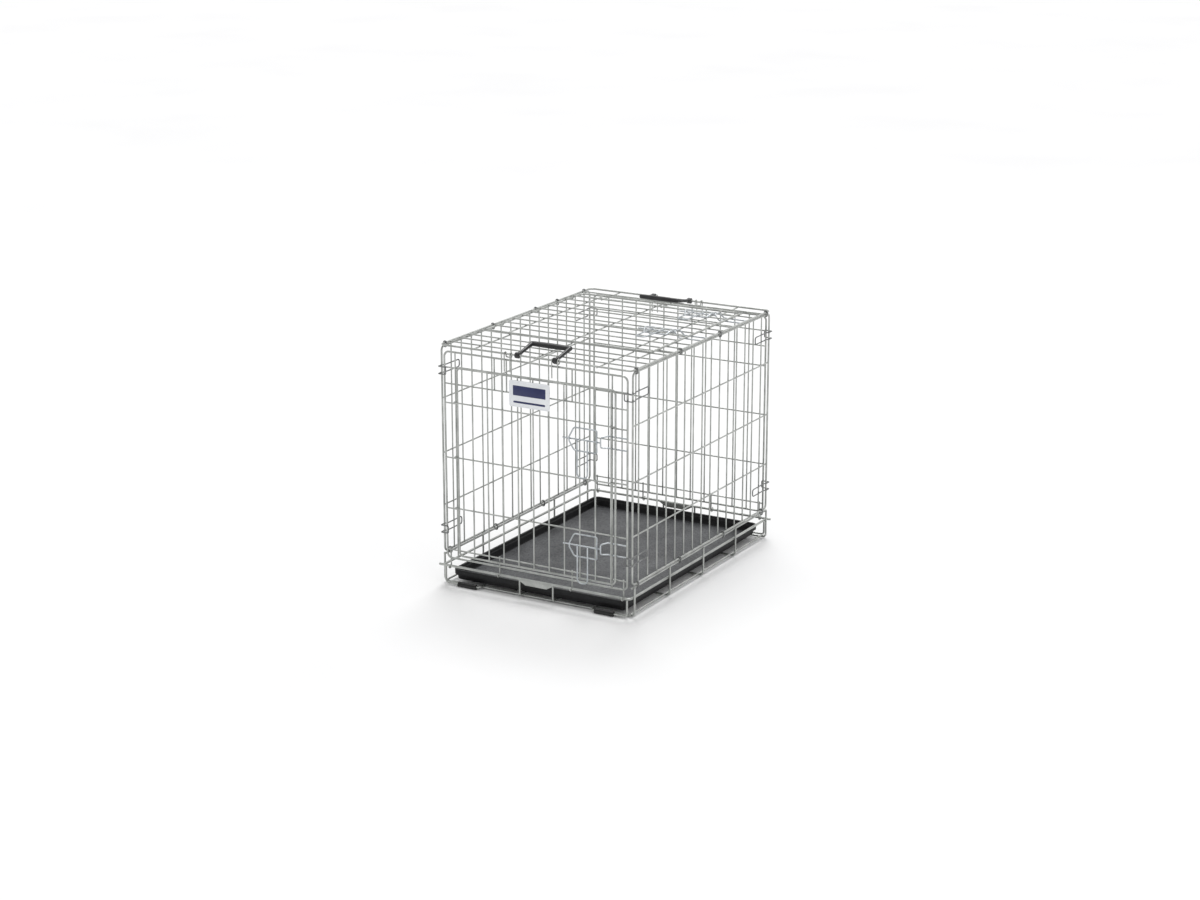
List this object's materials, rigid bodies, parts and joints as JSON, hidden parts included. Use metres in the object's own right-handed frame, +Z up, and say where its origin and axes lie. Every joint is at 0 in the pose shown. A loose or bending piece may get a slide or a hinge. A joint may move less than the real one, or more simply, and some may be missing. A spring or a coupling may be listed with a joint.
{
  "type": "kennel cage",
  "caption": "Folding wire kennel crate with a hinged front door, a roof hatch, slide bolts, a drop-in tray and two carry handles.",
  "frame": {"origin": "on the floor, under the middle of the crate", "axes": "+Z up, the door end faces -Y, the latches are on the +X side of the doors"},
  "size_m": [0.4506, 0.6148, 0.5161],
  "materials": {
    "coated_wire": "silver grey hammer-effect coating, semi-gloss",
    "spring_wire": "bright zinc-plated",
    "zinc_wire": "bright bluish zinc plate, semi-gloss",
    "tray_plastic": "fine-textured satin black",
    "handle_plastic": "moulded satin black",
    "rubber": "matt black",
    "plate_plastic": "blank off-white, semi-gloss"
  },
  "bodies": {
    "root": {"rim_front": "coated_wire", "rim_back": "coated_wire", "rail_left": "coated_wire", "rail_right": "coated_wire", "cross_wires": "coated_wire", "floor_runners": "coated_wire", "side_runners": "coated_wire", "foot_wires": "coated_wire", "foot_sleeves": "rubber", "side_panel_left": "coated_wire", "side_panel_right": "coated_wire", "base_rings_left": "spring_wire", "base_rings_right": "spring_wire", "top_rings_left": "spring_wire", "top_rings_right": "spring_wire", "clips_front_left": "spring_wire", "clips_front_right": "spring_wire", "clips_back_left": "spring_wire", "clips_back_right": "spring_wire", "top_panel": "coated_wire", "top_near_keeper": "zinc_wire", "top_far_keeper": "zinc_wire", "top_hooks_front": "coated_wire", "top_hooks_back": "coated_wire"},
    "front_panel": {"front_panel": "coated_wire", "front_lower_keeper": "zinc_wire", "front_upper_keeper": "zinc_wire"},
    "front_door": {"front_door": "coated_wire", "front_lower_guard": "zinc_wire", "front_upper_guard": "zinc_wire", "sign_plate": "plate_plastic"},
    "back_panel": {"back_panel": "coated_wire"},
    "top_door": {"top_door": "coated_wire", "top_near_guard": "zinc_wire", "top_far_guard": "zinc_wire"},
    "front_handle": {"front_handle": "handle_plastic"},
    "back_handle": {"back_handle": "handle_plastic"},
    "tray": {"tray": "tray_plastic"},
    "front_lower_bolt": {"front_lower_bolt": "zinc_wire"},
    "front_lower_pull": {"front_lower_pull": "zinc_wire"},
    "front_upper_bolt": {"front_upper_bolt": "zinc_wire"},
    "front_upper_pull": {"front_upper_pull": "zinc_wire"},
    "top_near_bolt": {"top_near_bolt": "zinc_wire"},
    "top_near_pull": {"top_near_pull": "zinc_wire"},
    "top_far_bolt": {"top_far_bolt": "zinc_wire"},
    "top_far_pull": {"top_far_pull": "zinc_wire"}
  },
  "joints": [
    {"name": "front_panel_fold", "type": "hinge", "parent": "root", "child": "front_panel", "pos_m": [0, -0.3, 0.041], "axis": [1, 0, 0], "range_deg": [-88, 0]},
    {"name": "back_panel_fold", "type": "hinge", "parent": "root", "child": "back_panel", "pos_m": [0, 0.3, 0.041], "axis": [-1, 0, 0], "range_deg": [-74, 0]},
    {"name": "front_door_swing", "type": "hinge", "parent": "front_panel", "child": "front_door", "pos_m": [-0.1805, -0.2992, 0.26], "axis": [0, 0, -1], "range_deg": [0, 140]},
    {"name": "top_door_lift", "type": "hinge", "parent": "root", "child": "top_door", "pos_m": [-0.2015, 0.033, 0.5012], "axis": [0, -1, 0], "range_deg": [0, 120]},
    {"name": "front_handle_lift", "type": "hinge", "parent": "root", "child": "front_handle", "pos_m": [0.0055, -0.296, 0.498], "axis": [1, 0, 0], "range_deg": [0, 100]},
    {"name": "back_handle_lift", "type": "hinge", "parent": "root", "child": "back_handle", "pos_m": [-0.0165, 0.296, 0.498], "axis": [-1, 0, 0], "range_deg": [0, 100]},
    {"name": "tray_lift", "type": "slide", "parent": "root", "child": "tray", "axis": [0, 0, 1], "range_m": [0, 0.12]},
    {"name": "front_lower_bolt_slide", "type": "slide", "parent": "front_door", "child": "front_lower_bolt", "axis": [1, 0, 0], "range_m": [0, 0.016]},
    {"name": "front_lower_pull_swing", "type": "hinge", "parent": "front_lower_bolt", "child": "front_lower_pull", "pos_m": [0.11, -0.3032, 0.1345], "axis": [-1, 0, 0], "range_deg": [0, 100]},
    {"name": "front_upper_bolt_slide", "type": "slide", "parent": "front_door", "child": "front_upper_bolt", "axis": [1, 0, 0], "range_m": [0, 0.016]},
    {"name": "front_upper_pull_swing", "type": "hinge", "parent": "front_upper_bolt", "child": "front_upper_pull", "pos_m": [0.11, -0.3032, 0.35], "axis": [-1, 0, 0], "range_deg": [0, 100]},
    {"name": "top_near_bolt_slide", "type": "slide", "parent": "top_door", "child": "top_near_bolt", "axis": [1, 0, 0], "range_m": [0, 0.016]},
    {"name": "top_near_pull_swing", "type": "hinge", "parent": "top_near_bolt", "child": "top_near_pull", "pos_m": [0.11, -0.0025, 0.5052], "axis": [-1, 0, 0], "range_deg": [0, 100]},
    {"name": "top_far_bolt_slide", "type": "slide", "parent": "top_door", "child": "top_far_bolt", "axis": [1, 0, 0], "range_m": [0, 0.016]},
    {"name": "top_far_pull_swing", "type": "hinge", "parent": "top_far_bolt", "child": "top_far_pull", "pos_m": [0.11, 0.1725, 0.5052], "axis": [-1, 0, 0], "range_deg": [0, 100]}
  ]
}
